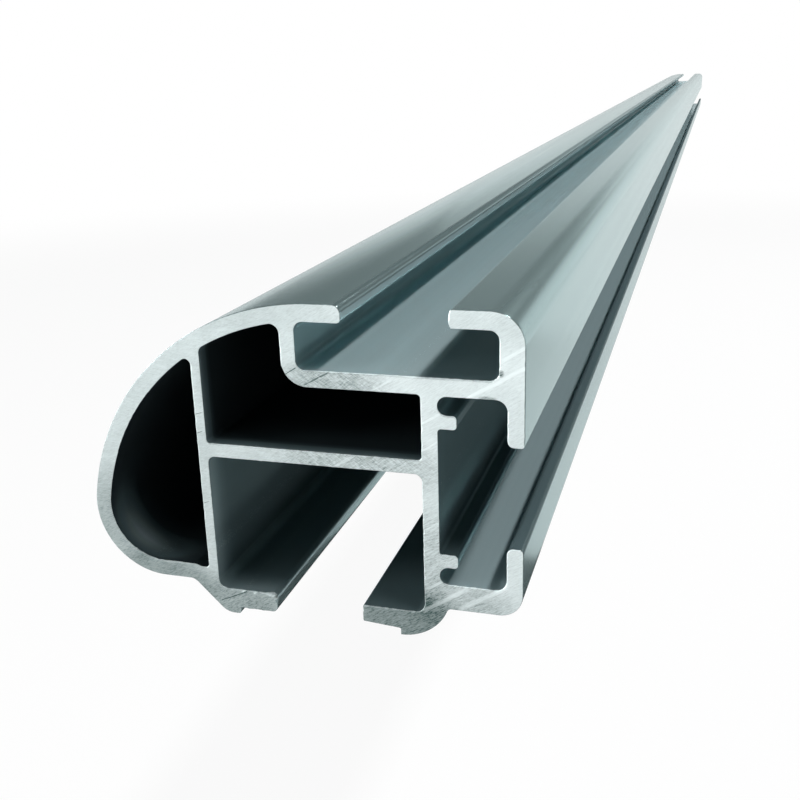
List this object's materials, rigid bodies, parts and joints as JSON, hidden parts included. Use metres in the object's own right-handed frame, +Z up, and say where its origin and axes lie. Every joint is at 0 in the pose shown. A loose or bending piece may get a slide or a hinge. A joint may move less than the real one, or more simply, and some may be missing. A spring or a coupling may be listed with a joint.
{
  "type": "roof rack crossbar",
  "caption": "Extruded roof rack crossbar with a rounded nose, a T-slot on top, a T-slot in the rear face and a channel with ledges underneath for its legs.",
  "frame": {"origin": "middle of the bar's length and width, on the surface that its two feet stand on", "axes": "+X across the bar from the rounded nose to the rear face, +Y along the bar away from the cut end that the picture shows, +Z up towards the top T-slot"},
  "size_m": [0.06, 1.3, 0.0443],
  "materials": {
    "satin_aluminium": "satin extruded surface, sawn ends"
  },
  "bodies": {
    "root": {"crossbar_extrusion": "satin_aluminium"}
  },
  "joints": []
}
